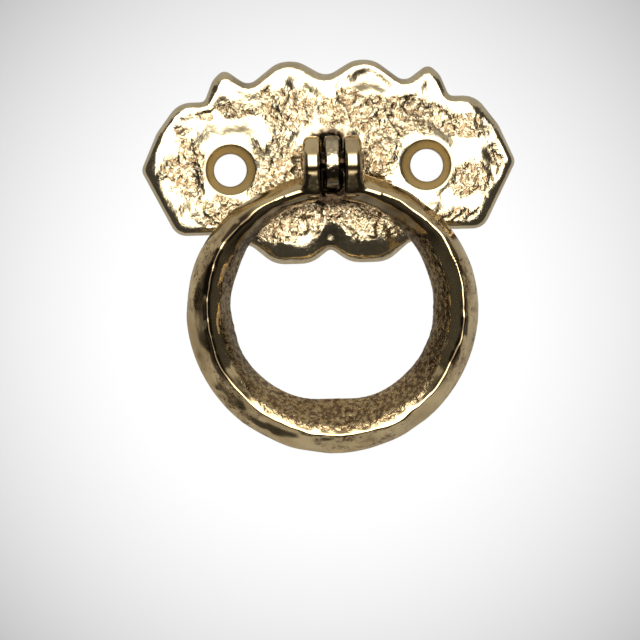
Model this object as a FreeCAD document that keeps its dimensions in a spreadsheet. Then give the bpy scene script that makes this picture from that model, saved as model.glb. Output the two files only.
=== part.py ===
import FreeCAD
import Part
import Sketcher
import math
import os

# Ring pull handle for a drawer or cabinet door, cast in brass, in millimetres.
# The origin is midway between the two screw holes, on the back of the plate.
# Z is up, and the front faces -Y.

SIZES = [
    # Backplate: the slab
    ("plate_crown", 3.4, "thickness of the plate at its middle"),
    ("dome_radius", 350.0, "radius of the plate's domed front"),
    ("rim_bevel", 0.65, "bevel along the plate's front edge"),
    # Backplate: the scalloped outline, right half, from the top middle round to the bottom middle
    ("top_dip_height", 13.9, "corner of the dip at the top middle, above the screw line"),
    ("top_dip_round", 2.5, "round in that dip"),
    ("crest_height", 16.4, "top of the two crests, above the screw line"),
    ("crest_start", 4.2, "inner corner of a crest, from the middle"),
    ("crest_length", 3.1, "flat length of a crest"),
    ("crest_round", 4.0, "round on both corners of a crest"),
    ("side_dip_run", 4.6, "from the crest's outer corner to the dip beside the horn"),
    ("side_dip_fall", 3.6, "from the crest's top down to that dip"),
    ("side_dip_round", 1.8, "round in that dip"),
    ("horn_run", 3.75, "from the side dip out to the tip of the horn"),
    ("horn_rise", 2.75, "from the side dip up to the tip of the horn"),
    ("horn_round", 1.2, "round on the tip of the horn"),
    ("horn_flank_run", 1.75, "from the horn's tip out to the knee on its outer flank"),
    ("horn_flank_fall", 1.75, "from the horn's tip down to that knee"),
    ("horn_flank_round", 2.2, "round on that knee"),
    ("horn_foot_run", 1.3, "from the knee out to the horn's foot"),
    ("horn_foot_fall", 3.25, "from the knee down to the horn's foot"),
    ("horn_foot_round", 0.7, "round in the corner at the horn's foot"),
    ("shoulder_run", 4.0, "from the horn's foot out to the wing's shoulder"),
    ("shoulder_round", 4.0, "round on the shoulder"),
    ("wing_tip", 28.65, "corner of the wing tip, from the middle"),
    ("wing_tip_height", 0.3, "corner of the wing tip, above the screw line"),
    ("wing_tip_round", 1.15, "round on the wing tip"),
    ("wing_bulge", 0.5, "how far the wing's upper edge bows out of the straight"),
    ("wing_cut", 5.2, "from the wing tip in to the wing's lower corner"),
    ("wing_drop", 9.85, "wing's lower edge, below the screw line"),
    ("wing_corner_round", 2.6, "round on the wing's lower corner"),
    ("notch_start", 11.9, "notch beside the lower lobe, from the middle"),
    ("notch_fall", 1.9, "from the wing's lower edge down to the notch"),
    ("notch_round", 1.0, "round in the notch"),
    ("lobe_outer_run", 3.3, "from the notch in to the lobe's outer corner"),
    ("lobe_drop", 14.55, "bottom of the two lower lobes, below the screw line"),
    ("lobe_inner", 3.0, "inner corner of a lobe, from the middle"),
    ("lobe_round", 4.5, "round on both corners of a lobe"),
    ("cusp_drop", 12.3, "cusp between the lobes, below the screw line"),
    ("cusp_round", 0.6, "round in the cusp"),
    # Backplate: screw holes
    ("screw_spacing", 30.0, "distance between the two screw holes"),
    ("screw_hole", 5.0, "diameter of a screw hole"),
    ("countersink", 7.7, "diameter of the countersink at the plate's front"),
    ("countersink_angle", 90.0, "full angle of the countersink"),
    # Hinge
    ("pin_standoff", 8.2, "pin's axis in front of the plate's back"),
    ("pin_height", 0.6, "pin's axis above the screw line"),
    ("pin_diameter", 3.0, "diameter of the hinge pin and of the bores in the ears"),
    ("pin_proud", 0.35, "height of the peened end on each side of the pin"),
    ("pin_face", 1.6, "diameter of the flat on each peened end"),
    ("lug_clearance", 0.05, "radial clearance of the pin in the lug"),
    ("lug_width", 2.3, "width of the lug"),
    ("lug_side_gap", 0.6, "gap between the lug and each ear"),
    ("lug_root", 1.3, "reach of the lug's flared root, above and below it and forward"),
    ("lug_hollow", 0.33, "hollow of that flare out of the straight"),
    ("lug_sink", 0.43, "depth of the flare's foot below the plate's front"),
    ("lug_edge", 0.25, "bevel along the lug's side edges"),
    ("ear_width", 2.75, "width of one ear"),
    ("knuckle_radius", 3.9, "radius of the lug's nose and of the ears"),
    ("ear_edge", 0.6, "round along an ear's outer edge"),
    ("neck_length", 5.2, "from the pin's axis down to the end of an ear's neck"),
    ("neck_front", 2.8, "front of the neck's end, from the pin's axis"),
    ("neck_back", 2.4, "back of the neck's end, from the pin's axis"),
    # Ring
    ("ring_drop", 21.9, "from the pin's axis down to the ring's middle"),
    ("ring_outer", 22.05, "outer radius of the ring at its sides and bottom"),
    ("ring_outer_top", 19.95, "outer radius where the arms meet the ears"),
    ("ring_inner", 15.15, "inner radius at the sides"),
    ("ring_inner_top", 16.2, "inner radius where the arms meet the ears"),
    ("ring_inner_bottom", 13.75, "inner radius at the bottom"),
    ("outer_bevel", 2.6, "radial width of the bevel outside the ridge"),
    ("outer_bevel_top", 1.7, "radial width of that bevel at the ears"),
    ("ridge_front", 3.3, "ridge in front of the pin's axis"),
    ("ridge_front_top", 2.7, "ridge in front of the pin's axis at the ears"),
    ("land_width", 1.5, "radial width of the land inside the ridge"),
    ("land_width_top", 1.0, "radial width of that land at the ears"),
    ("land_fall", 0.4, "how far the land falls back from the ridge"),
    ("ring_back", 2.5, "flat back of the ring behind the pin's axis"),
    ("ring_wall_front", 0.6, "front end of the ring's outer wall, behind the pin's axis"),
    ("ring_lip", 1.1, "depth of the inner edge behind the pin's axis"),
    ("ring_back_bevel", 1.2, "width of the bevelled corners along the back"),
    ("face_bow", 0.22, "bow of the two front bevels out of the straight"),
]

SHEET = "Sizes"
# A sketch's own numbers for the points of a line or an arc, and for its axes and origin.
START, END, CENTRE = range(1, 4)
HORIZONTAL_AXIS, VERTICAL_AXIS = range(-1, -3, -1)
ORIGIN_POINT = (HORIZONTAL_AXIS, START)
TINY = 1e-7
# An edge this close to a place counts as lying there.
NEAR = 1e-3
# Share of a straight side that the round at one of its ends may take up.
SIDE_SHARE = 0.48
QUARTER_TURN = 90.0
FULL_TURN = 360.0
# Bow of a quarter circle out of its chord, as a share of its radius.
QUARTER_BOW = 1 - math.sqrt(0.5)
# The dome's seam runs down to the right at this angle, clear of the screw holes.
DOME_SEAM = 30.0
# Sections that the ring is drawn through, from one ear round to the other.
RING_SECTIONS = 17


class Size:
    """A size as a number and as the expression that gives it from the sheet."""

    def __init__(self, value, text):
        self.value = value
        self.text = text

    @staticmethod
    def of(other):
        if isinstance(other, Size):
            return other
        return Size(float(other), repr(float(other)))

    def joined(self, sign, other, value):
        return Size(value, f"({self.text} {sign} {other.text})")

    def __add__(self, other):
        other = Size.of(other)
        return self.joined("+", other, self.value + other.value)

    def __sub__(self, other):
        other = Size.of(other)
        return self.joined("-", other, self.value - other.value)

    def __mul__(self, other):
        other = Size.of(other)
        return self.joined("*", other, self.value * other.value)

    def __truediv__(self, other):
        other = Size.of(other)
        return self.joined("/", other, self.value / other.value)

    def __neg__(self):
        return Size(-self.value, f"(-1 * {self.text})")

    def root(self):
        return Size(math.sqrt(self.value), f"sqrt({self.text})")

    def tangent(self):
        """The tangent of an angle in degrees."""
        return Size(math.tan(math.radians(self.value)), f"tan({self.text})")

    def arcsine(self):
        """The angle in degrees that has this sine."""
        return Size(math.degrees(math.asin(self.value)), f"(asin({self.text}) / 1deg)")


ZERO = Size.of(0)


def make_sheet(doc):
    """Write the driving dimensions into the document's sheet, one row each."""
    sheet = doc.addObject("Spreadsheet::Sheet", SHEET)
    for row, (alias, value, meaning) in enumerate(SIZES, start=1):
        sheet.set(f"A{row}", alias)
        sheet.set(f"B{row}", str(value))
        sheet.set(f"C{row}", meaning)
        sheet.setAlias(f"B{row}", alias)
    doc.recompute()
    return sheet


def read_sizes(sheet):
    """Every size of the sheet by its alias."""
    return {alias: Size(float(sheet.get(alias)), f"{SHEET}.{alias}") for alias, _, _ in SIZES}


def origin_part(body, role):
    return next(part for part in body.Origin.OriginFeatures if part.Role == role)


def flat_vector(x, y):
    return FreeCAD.Vector(x.value, y.value, 0)


class Drawing:
    """A sketch on one of a body's own planes, with its constraints bound to the sheet."""

    def __init__(self, body, name, plane):
        self.sketch = body.newObject("Sketcher::SketchObject", name)
        self.sketch.AttachmentSupport = [(origin_part(body, plane), "")]
        self.sketch.MapMode = "FlatFace"
        self.rules = []

    def line(self, start, end):
        return self.sketch.addGeometry(Part.LineSegment(start, end))

    def arc(self, start, middle, end, radius):
        arc = self.sketch.addGeometry(Part.Arc(start, middle, end))
        self.rule("Radius", arc, size=radius)
        return arc

    def arc_through(self, start, middle, end):
        """An arc that is held by the place (x, y) of its middle, so that it can't bow the other way."""
        crown = flat_vector(*middle)
        arc = self.sketch.addGeometry(Part.Arc(start, crown, end))
        mark = self.sketch.addGeometry(Part.Point(crown), True)
        self.fix_point(mark, START, *middle)
        self.rule("PointOnObject", mark, START, arc)
        return arc

    def rule(self, kind, *members, size=None):
        """Note a constraint, which is bound to its size if it has one."""
        values = [] if size is None else [size.value]
        self.rules.append((Sketcher.Constraint(kind, *members, *values), size))

    def fix_point(self, geometry, end, x, y):
        """Hold a point at its distances from the sketch's origin."""
        for kind, axis, size in (("DistanceX", VERTICAL_AXIS, x), ("DistanceY", HORIZONTAL_AXIS, y)):
            if abs(size.value) < TINY:
                self.rule("PointOnObject", geometry, end, axis)
            elif size.value > 0:
                self.rule(kind, *ORIGIN_POINT, geometry, end, size=size)
            else:
                self.rule(kind, geometry, end, *ORIGIN_POINT, size=-size)

    def end_at(self, geometry, point):
        """Which end of a line or an arc lies at a point."""
        to_start = self.sketch.getPoint(geometry, START).distanceToPoint(point)
        to_end = self.sketch.getPoint(geometry, END).distanceToPoint(point)
        return START if to_start < to_end else END

    def rounded_outline(self, corners):
        """A closed outline of straight sides with a tangent round at every corner (x, y, round)."""
        count = len(corners)
        points = [flat_vector(x, y) for x, y, _ in corners]
        entries = []
        exits = []
        arcs = []
        for index, (_, _, radius) in enumerate(corners):
            corner = points[index]
            back = points[index - 1] - corner
            ahead = points[(index + 1) % count] - corner
            half = back.getAngle(ahead) / 2
            limit = SIDE_SHARE * min(back.Length, ahead.Length) * math.tan(half)
            fitted = Size(min(radius.value, limit), f"min({radius.text}; {limit})")
            reach = fitted.value / math.tan(half)
            entry = corner + back.normalize() * reach
            leave = corner + ahead.normalize() * reach
            inward = (back + ahead).normalize()
            middle = corner + inward * (fitted.value / math.sin(half) - fitted.value)
            arcs.append(self.arc(entry, middle, leave, fitted))
            entries.append(entry)
            exits.append(leave)
        sides = []
        for index in range(count):
            following = (index + 1) % count
            side = self.line(exits[index], entries[following])
            leaving = self.end_at(arcs[index], exits[index])
            entering = self.end_at(arcs[following], entries[following])
            self.rule("Tangent", arcs[index], leaving, side, START)
            self.rule("Tangent", side, END, arcs[following], entering)
            sides.append(side)
        for index, (x, y, _) in enumerate(corners):
            mark = self.sketch.addGeometry(Part.Point(points[index]), True)
            self.fix_point(mark, START, x, y)
            self.rule("PointOnObject", mark, START, sides[index - 1])
            self.rule("PointOnObject", mark, START, sides[index])

    def bowed_outline(self, corners):
        """A closed anticlockwise outline through corners (x, y, bow), its sides straight or bowed out."""
        count = len(corners)
        sides = []
        for index, (x, y, bow) in enumerate(corners):
            next_x, next_y, _ = corners[(index + 1) % count]
            here = flat_vector(x, y)
            there = flat_vector(next_x, next_y)
            if bow is None:
                sides.append(self.line(here, there))
                continue
            run = next_x - x
            rise = next_y - y
            chord = (run * run + rise * rise).root()
            middle_x = (x + next_x) / 2 + rise / chord * bow
            middle_y = (y + next_y) / 2 - run / chord * bow
            sides.append(self.arc_through(here, (middle_x, middle_y), there))
        for index, (x, y, _) in enumerate(corners):
            corner = flat_vector(x, y)
            leaving = self.end_at(sides[index], corner)
            arriving = self.end_at(sides[index - 1], corner)
            self.rule("Coincident", sides[index - 1], arriving, sides[index], leaving)
            self.fix_point(sides[index], leaving, x, y)

    def circle(self, x, y, radius):
        flat_circle = Part.Circle(flat_vector(x, y), FreeCAD.Vector(0, 0, 1), radius.value)
        circle = self.sketch.addGeometry(flat_circle)
        self.rule("Radius", circle, size=radius)
        self.fix_point(circle, CENTRE, x, y)

    def eye_outline(self, centre, radius, left_foot, right_foot):
        """A round eye whose two tangent flanks run down to a straight foot. Points are (x, y)."""
        middle = flat_vector(*centre)
        feet = [flat_vector(*left_foot), flat_vector(*right_foot)]
        touches = []
        for foot, turn in zip(feet, (-1, 1)):
            away = foot - middle
            lean = turn * math.degrees(math.acos(radius.value / away.Length))
            swing = FreeCAD.Rotation(FreeCAD.Vector(0, 0, 1), lean)
            touches.append(middle + swing.multVec(away.normalize() * radius.value))
        crown = middle - (touches[0] + touches[1] - middle * 2).normalize() * radius.value
        eye = self.arc(touches[0], crown, touches[1], radius)
        self.fix_point(eye, CENTRE, *centre)
        flanks = [self.line(touch, foot) for touch, foot in zip(touches, feet)]
        base = self.line(*feet)
        for flank, touch, place, end in zip(flanks, touches, (left_foot, right_foot), (START, END)):
            self.rule("Tangent", eye, self.end_at(eye, touch), flank, START)
            self.rule("Coincident", flank, END, base, end)
            self.fix_point(flank, END, *place)

    def finish(self):
        """Put the noted constraints into the sketch and bind them."""
        places = self.sketch.addConstraint([rule for rule, _ in self.rules])
        for place, (_, size) in zip(places, self.rules):
            if size is not None:
                self.sketch.setExpression(f"Constraints[{place}]", size.text)
        return self.sketch


def new_feature(body, kind, name, drawing, **bindings):
    """Add a feature that works on a drawing, with its sizes bound to the sheet."""
    sketch = drawing.finish()
    feature = body.newObject(f"PartDesign::{kind}", name)
    feature.Profile = sketch
    for prop, size in bindings.items():
        feature.setExpression(prop, size.text)
    return feature


def new_bore(body, name, drawing):
    """Cut a drawing right through the body, both ways from its plane."""
    cut = new_feature(body, "Pocket", name, drawing)
    cut.Type = "ThroughAll"
    cut.SideType = "Symmetric"
    return cut


def dress_edges(doc, body, kind, name, base, wanted, **bindings):
    """Round or bevel those edges of a feature that a test picks."""
    doc.recompute()
    edges = [f"Edge{index}" for index, edge in enumerate(base.Shape.Edges, start=1) if wanted(edge)]
    dressing = body.newObject(f"PartDesign::{kind}", name)
    dressing.Base = (base, edges)
    for prop, size in bindings.items():
        dressing.setExpression(prop, size.text)
    doc.recompute()


def plate_corners(size):
    """Corners of the plate's outline, clockwise from the top middle."""
    dip_x = size["crest_start"] + size["crest_length"] + size["side_dip_run"]
    dip_z = size["crest_height"] - size["side_dip_fall"]
    horn_x = dip_x + size["horn_run"]
    horn_z = dip_z + size["horn_rise"]
    flank_x = horn_x + size["horn_flank_run"]
    flank_z = horn_z - size["horn_flank_fall"]
    foot_x = flank_x + size["horn_foot_run"]
    foot_z = flank_z - size["horn_foot_fall"]
    shoulder_x = foot_x + size["shoulder_run"]
    wing_x = size["wing_tip"] - size["wing_cut"]
    notch_z = -(size["wing_drop"] + size["notch_fall"])
    half = [
        (size["crest_start"], size["crest_height"], size["crest_round"]),
        (size["crest_start"] + size["crest_length"], size["crest_height"], size["crest_round"]),
        (dip_x, dip_z, size["side_dip_round"]),
        (horn_x, horn_z, size["horn_round"]),
        (flank_x, flank_z, size["horn_flank_round"]),
        (foot_x, foot_z, size["horn_foot_round"]),
        (shoulder_x, foot_z, size["shoulder_round"]),
        (
            (shoulder_x + size["wing_tip"]) / 2 + size["wing_bulge"],
            (foot_z + size["wing_tip_height"]) / 2 + size["wing_bulge"],
            size["shoulder_round"],
        ),
        (size["wing_tip"], size["wing_tip_height"], size["wing_tip_round"]),
        (wing_x, -size["wing_drop"], size["wing_corner_round"]),
        ((wing_x + size["notch_start"]) / 2, -size["wing_drop"], size["wing_corner_round"]),
        (size["notch_start"], notch_z, size["notch_round"]),
        (size["notch_start"] - size["lobe_outer_run"], -size["lobe_drop"], size["lobe_round"]),
        (size["lobe_inner"], -size["lobe_drop"], size["lobe_round"]),
    ]
    top = (ZERO, size["top_dip_height"], size["top_dip_round"])
    bottom = (ZERO, -size["cusp_drop"], size["cusp_round"])
    mirrored = [(-x, z, radius) for x, z, radius in reversed(half)]
    return [top] + half + [bottom] + mirrored


def sag_of(radius, reach):
    """How far a ball's surface falls back at a distance from its top."""
    return radius - (radius * radius - reach * reach).root()


def make_plate_slab(doc, body, size):
    """The scalloped slab with its domed front and bevelled front edge."""
    stock = size["plate_crown"] + size["rim_bevel"]
    outline = Drawing(body, "PlateOutline", "XZ_Plane")
    outline.rounded_outline(plate_corners(size))
    new_feature(body, "Pad", "Slab", outline, Length=stock)

    reach = size["wing_tip"] + size["crest_height"]
    radius = size["dome_radius"]
    sag = sag_of(radius, reach)
    bow = sag_of(radius, (reach * reach + sag * sag).root() / 2)
    front = -(stock + size["rim_bevel"])
    section = Drawing(body, "DomeSection", "XY_Plane")
    section.sketch.AttachmentOffset = FreeCAD.Placement(
        FreeCAD.Vector(), FreeCAD.Rotation(FreeCAD.Vector(0, 1, 0), DOME_SEAM)
    )
    section.bowed_outline([
        (ZERO, front, None),
        (reach, front, None),
        (reach, sag - size["plate_crown"], -bow),
        (ZERO, -size["plate_crown"], None),
    ])
    dome = new_feature(body, "Groove", "Dome", section)
    dome.ReferenceAxis = (origin_part(body, "Y_Axis"), [""])
    dome.Angle = FULL_TURN

    def on_front_edge(edge):
        middle = edge.valueAt((edge.FirstParameter + edge.LastParameter) / 2)
        distance = math.hypot(middle.x, middle.z)
        front_here = -size["plate_crown"].value + sag_of(radius, Size.of(distance)).value
        return abs(middle.y - front_here) < NEAR and distance > NEAR

    dress_edges(doc, body, "Chamfer", "RimBevel", dome, on_front_edge, Size=size["rim_bevel"])


def drill_screw_holes(doc, body, size):
    """The two countersunk holes: one is turned out of the plate, and the other mirrors it."""
    half_spacing = size["screw_spacing"] / 2
    bore = size["screw_hole"] / 2
    above_face = size["rim_bevel"] + sag_of(size["dome_radius"], half_spacing)
    slope = (size["countersink_angle"] / 2).tangent()
    mouth = size["countersink"] / 2 + above_face * slope
    mouth_y = -(size["plate_crown"] + size["rim_bevel"])
    neck_y = mouth_y + (mouth - bore) / slope
    behind = size["rim_bevel"]
    section = Drawing(body, "ScrewHoleSection", "XY_Plane")
    section.sketch.setExpression("AttachmentOffset.Base.x", half_spacing.text)
    section.bowed_outline([
        (ZERO, mouth_y, None),
        (mouth, mouth_y, None),
        (bore, neck_y, None),
        (bore, behind, None),
        (ZERO, behind, None),
    ])
    hole = new_feature(body, "Groove", "ScrewHole", section)
    hole.ReferenceAxis = (section.sketch, ["V_Axis"])
    hole.Angle = FULL_TURN
    doc.recompute()
    pair = body.newObject("PartDesign::Mirrored", "SecondScrewHole")
    pair.Originals = [hole]
    pair.MirrorPlane = (origin_part(body, "YZ_Plane"), [""])
    body.Tip = pair
    doc.recompute()


def make_backplate(doc, size):
    """The scalloped plate with its two countersunk holes and its lug."""
    body = doc.addObject("PartDesign::Body", "backplate")
    make_plate_slab(doc, body, size)
    drill_screw_holes(doc, body, size)

    knuckle = size["knuckle_radius"]
    axis_z = size["pin_height"]
    crown = size["plate_crown"]
    nose_y = -size["pin_standoff"]
    root_y = -(crown + size["lug_root"])
    sunk_y = -(crown - size["lug_sink"])
    back_y = -crown / 2
    hollow = -size["lug_hollow"]
    flare = knuckle + size["lug_root"]
    side = Drawing(body, "LugSide", "YZ_Plane")
    side.bowed_outline([
        (back_y, axis_z - flare, None),
        (back_y, axis_z + flare, None),
        (sunk_y, axis_z + flare, hollow),
        (root_y, axis_z + knuckle, None),
        (nose_y, axis_z + knuckle, knuckle * QUARTER_BOW),
        (nose_y - knuckle, axis_z, knuckle * QUARTER_BOW),
        (nose_y, axis_z - knuckle, None),
        (root_y, axis_z - knuckle, hollow),
        (sunk_y, axis_z - flare, None),
    ])
    lug = new_feature(body, "Pad", "Lug", side, Length=size["lug_width"])
    lug.SideType = "Symmetric"

    def on_lug_side(edge):
        box = edge.BoundBox
        on_side = abs(abs(box.Center.x) - size["lug_width"].value / 2) < NEAR
        return on_side and box.XLength < NEAR and box.YMin < root_y.value - NEAR

    dress_edges(doc, body, "Chamfer", "LugEdges", lug, on_lug_side, Size=size["lug_edge"])

    pin_hole = Drawing(body, "LugBoreSketch", "YZ_Plane")
    pin_hole.circle(nose_y, axis_z, size["pin_diameter"] / 2 + size["lug_clearance"])
    new_bore(body, "LugBore", pin_hole)
    doc.recompute()
    return body


def along_ring(top, side, bottom, angle):
    """A size of the ring at an angle from its top, easing down to the side and gathering to the bottom."""
    if angle <= QUARTER_TURN:
        share = angle / QUARTER_TURN
        eased = share * share * (3 - 2 * share)
        return top * (1 - eased) + side * eased
    share = angle / QUARTER_TURN - 1
    gathered = share * share
    return side * (1 - gathered) + bottom * gathered


def ring_section(body, size, index):
    """The ring's section at one of its stations, from the first arm round to the second."""
    # The arms are drawn on into the lug's slot, to half way between its side and its middle.
    overrun = (size["lug_width"] / 2 + size["lug_side_gap"]) / 2
    start = (overrun / size["ring_outer_top"]).arcsine()
    turn = start + (start * -2 + FULL_TURN) * index / (RING_SECTIONS - 1)
    angle = min(turn.value, FULL_TURN - turn.value)
    outer = along_ring(size["ring_outer_top"], size["ring_outer"], size["ring_outer"], angle)
    inner = along_ring(size["ring_inner_top"], size["ring_inner"], size["ring_inner_bottom"], angle)
    bevel = along_ring(size["outer_bevel_top"], size["outer_bevel"], size["outer_bevel"], angle)
    front = along_ring(size["ridge_front_top"], size["ridge_front"], size["ridge_front"], angle)
    land = along_ring(size["land_width_top"], size["land_width"], size["land_width"], angle)
    ridge = outer - bevel
    back = size["ring_back"]
    corner = size["ring_back_bevel"]
    bow = size["face_bow"]
    section = Drawing(body, f"RingSection{index}", "YZ_Plane")
    section.sketch.AttachmentOffset = FreeCAD.Placement(
        FreeCAD.Vector(), FreeCAD.Rotation(FreeCAD.Vector(1, 0, 0), turn.value)
    )
    section.sketch.setExpression("AttachmentOffset.Rotation.Angle", turn.text)
    section.bowed_outline([
        (back, outer - corner, None),
        (back - corner, outer, None),
        (size["ring_wall_front"], outer, bow),
        (-front, ridge, None),
        (-front + size["land_fall"], ridge - land, bow),
        (size["ring_lip"], inner, None),
        (back, inner + corner, None),
    ])
    return section.finish()


def make_ring(doc, size):
    """The ridged pull ring with its two hinge ears. The body's origin is the ring's middle."""
    body = doc.addObject("PartDesign::Body", "ring")
    knuckle = size["knuckle_radius"]
    axis_z = size["ring_drop"]
    neck_z = axis_z - size["neck_length"]
    slot = size["lug_width"] + size["lug_side_gap"] * 2
    width = slot + size["ear_width"] * 2

    side = Drawing(body, "KnuckleSide", "YZ_Plane")
    side.eye_outline((ZERO, axis_z), knuckle, (-size["neck_front"], neck_z), (size["neck_back"], neck_z))
    knuckles = new_feature(body, "Pad", "Knuckles", side, Length=width)
    knuckles.SideType = "Symmetric"

    def on_outer_face(edge):
        box = edge.BoundBox
        return box.XLength < NEAR and abs(abs(box.Center.x) - width.value / 2) < NEAR

    dress_edges(doc, body, "Fillet", "EarEdges", knuckles, on_outer_face, Radius=size["ear_edge"])

    sections = [ring_section(body, size, index) for index in range(RING_SECTIONS)]
    bow = body.newObject("PartDesign::AdditiveLoft", "RingBow")
    bow.Profile = sections[0]
    bow.Sections = sections[1:]
    doc.recompute()

    above = axis_z + knuckle * 2
    gap = Drawing(body, "SlotFront", "XZ_Plane")
    gap.bowed_outline([
        (-slot / 2, ZERO, None),
        (slot / 2, ZERO, None),
        (slot / 2, above, None),
        (-slot / 2, above, None),
    ])
    new_bore(body, "LugSlot", gap)

    pin_hole = Drawing(body, "EarBoreSketch", "YZ_Plane")
    pin_hole.circle(ZERO, axis_z, size["pin_diameter"] / 2)
    new_bore(body, "EarBores", pin_hole)
    body.setExpression("Placement.Base.y", (-size["pin_standoff"]).text)
    body.setExpression("Placement.Base.z", (size["pin_height"] - size["ring_drop"]).text)
    doc.recompute()
    return body


def make_hinge_pin(doc, size):
    """The pin, peened over at both ends. The body's origin is the middle of the pin."""
    body = doc.addObject("PartDesign::Body", "hinge_pin")
    half = size["lug_width"] / 2 + size["lug_side_gap"] + size["ear_width"]
    radius = size["pin_diameter"] / 2
    end = half + size["pin_proud"]
    face = size["pin_face"] / 2
    section = Drawing(body, "PinSection", "XY_Plane")
    section.bowed_outline([
        (-end, ZERO, None),
        (end, ZERO, None),
        (end, face, None),
        (half, radius, None),
        (-half, radius, None),
        (-end, face, None),
    ])
    turned = new_feature(body, "Revolution", "Pin", section)
    turned.ReferenceAxis = (origin_part(body, "X_Axis"), [""])
    turned.Angle = FULL_TURN
    body.setExpression("Placement.Base.y", (-size["pin_standoff"]).text)
    body.setExpression("Placement.Base.z", size["pin_height"].text)
    doc.recompute()
    return body


def check_model(doc, bodies):
    """Stop if any object failed, a cut took nothing away or a sub-part has no sound solid."""
    for item in doc.Objects:
        if {"Invalid", "Error"} & set(item.State):
            raise RuntimeError(f"{item.Name} did not build: {item.State}")
    for item in doc.Objects:
        cuts = item.TypeId in ("PartDesign::Pocket", "PartDesign::Groove", "PartDesign::Mirrored")
        if cuts and item.Shape.Volume >= item.BaseFeature.Shape.Volume - TINY:
            raise RuntimeError(f"{item.Name} cuts nothing")
    for body in bodies:
        if body.Shape.isNull() or not body.Shape.isValid() or len(body.Shape.Solids) != 1:
            raise RuntimeError(f"{body.Label} is not one sound solid")


def main():
    doc = FreeCAD.newDocument("RingPull")
    size = read_sizes(make_sheet(doc))
    bodies = [make_backplate(doc, size), make_ring(doc, size), make_hinge_pin(doc, size)]
    doc.recompute()
    check_model(doc, bodies)
    os.makedirs("parts", exist_ok=True)
    for body in bodies:
        body.Shape.exportStep(f"parts/{body.Label}.step")


main()
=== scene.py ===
import math
from collections import namedtuple

import bmesh
import bpy
from bpy.props import FloatProperty, FloatVectorProperty, IntProperty, PointerProperty
from mathutils import Euler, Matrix, Vector, kdtree, noise


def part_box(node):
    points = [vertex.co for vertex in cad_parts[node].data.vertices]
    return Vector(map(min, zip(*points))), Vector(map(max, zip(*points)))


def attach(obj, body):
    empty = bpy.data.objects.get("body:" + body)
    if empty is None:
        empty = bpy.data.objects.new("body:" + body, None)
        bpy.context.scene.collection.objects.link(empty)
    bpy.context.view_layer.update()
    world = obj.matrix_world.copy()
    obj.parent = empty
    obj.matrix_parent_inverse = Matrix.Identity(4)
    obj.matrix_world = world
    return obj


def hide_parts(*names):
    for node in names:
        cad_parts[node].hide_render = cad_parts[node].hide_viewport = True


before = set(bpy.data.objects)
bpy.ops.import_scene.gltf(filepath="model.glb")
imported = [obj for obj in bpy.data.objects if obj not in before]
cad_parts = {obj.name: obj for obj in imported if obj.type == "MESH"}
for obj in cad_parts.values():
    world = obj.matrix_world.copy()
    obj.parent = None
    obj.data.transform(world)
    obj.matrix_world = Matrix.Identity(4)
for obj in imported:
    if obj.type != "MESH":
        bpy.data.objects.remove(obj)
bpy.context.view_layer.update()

bl_info = {
    "name": "Ring Pull Handle",
    "version": (1, 0, 0),
    "blender": (4, 5, 0),
    "location": "3D View > Sidebar > Ring Pull",
    "description": "Gives the CAD frame of a cast brass ring pull its worn surface and lights it",
    "category": "Object",
}

MM = 0.001
MERGE = 1e-7
WHITE = (1.0, 1.0, 1.0, 1.0)

# Places and sizes on the frame, in millimetres: screw holes, hinge, ring and plate.
HOLE_X = 15.0
COUNTERSINK_EDGE = 3.95
AXIS_Y = -8.2
AXIS_Z = 0.6
KNUCKLE = 3.9
LUG_HALF = 1.15
LUG_MARGIN = 0.6
LUG_FOOT_Y = -3.7
EAR_MIDDLE = 3.2
EAR_HALF = 1.2
RING_Z = -21.3
RIDGE_RADIUS = 18.25
RIDGE_RISE = 1.2
PLATE_CROWN = 3.4
DOME_RADIUS = 350.0
# The casting's lug and ears stand this far to the right of the middle.
HINGE_SHIFT = 0.6

# Sunk places on the plate and painted shade: x, z, width and depth in millimetres, and darkness of
# the painted shade.
HOLLOWS_AND_SHADE = (
    # painted shade under and over the hinge
    (0.6, -4.5, 1.9, 0.1, 1.7),
    (-1.2, -4.8, 1.5, 0.0, 1.6),
    (2.3, -4.8, 1.5, 0.0, 1.6),
    (2.3, -3.4, 0.9, 0.0, 1.6),
    (2.2, -2.0, 0.9, 0.0, 1.6),
    (-3.0, -5.2, 1.4, 0.0, 0.9),
    (4.0, -5.2, 1.4, 0.0, 0.9),
    (0.6, 5.1, 1.3, 0.0, 1.3),
    (-0.7, 5.0, 1.2, 0.0, 1.3),
    (1.9, 5.0, 1.2, 0.0, 1.3),
    (-2.2, 4.7, 1.1, 0.0, 1.1),
    (3.4, 4.7, 1.1, 0.0, 1.1),
    # pits beside the ears, with painted shade
    (-5.0, 1.3, 0.55, 0.35, 0.85),
    (-5.2, -0.3, 0.5, 0.3, 0.7),
    (5.5, 2.0, 0.7, 0.1, 0.9),
    (5.6, 0.2, 0.7, 0.1, 0.8),
    # painted shade in the crease between the lobes and at their upper ends, under the ring's arms
    (0.0, -10.6, 1.7, 0.0, 0.6),
    (-6.5, -6.3, 1.8, 0.0, 0.5),
    (5.5, -6.3, 1.8, 0.0, 0.5),
    # furrow on the left wing and step below the right crest, with painted shade in them
    (-16.0, 10.0, 1.1, 0.2, 0.6),
    (-14.2, 9.3, 1.1, 0.2, 0.6),
    (-12.4, 7.7, 1.0, 0.2, 0.55),
    (6.5, 10.2, 1.1, 0.18, 0.45),
    (9.5, 9.6, 1.1, 0.18, 0.5),
    (12.5, 8.9, 1.1, 0.18, 0.5),
    (15.4, 8.2, 1.1, 0.2, 0.55),
    # hollows towards the dips and horns of the outline, with painted shade where the surface falls
    (-13.2, 12.9, 1.6, 0.35, 0.4),
    (9.6, 13.2, 2.0, 0.4, 0.4),
    (17.2, 12.0, 1.6, 0.4, 0.35),
    (25.2, 6.5, 1.6, 0.35, 0.2),
)
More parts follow.
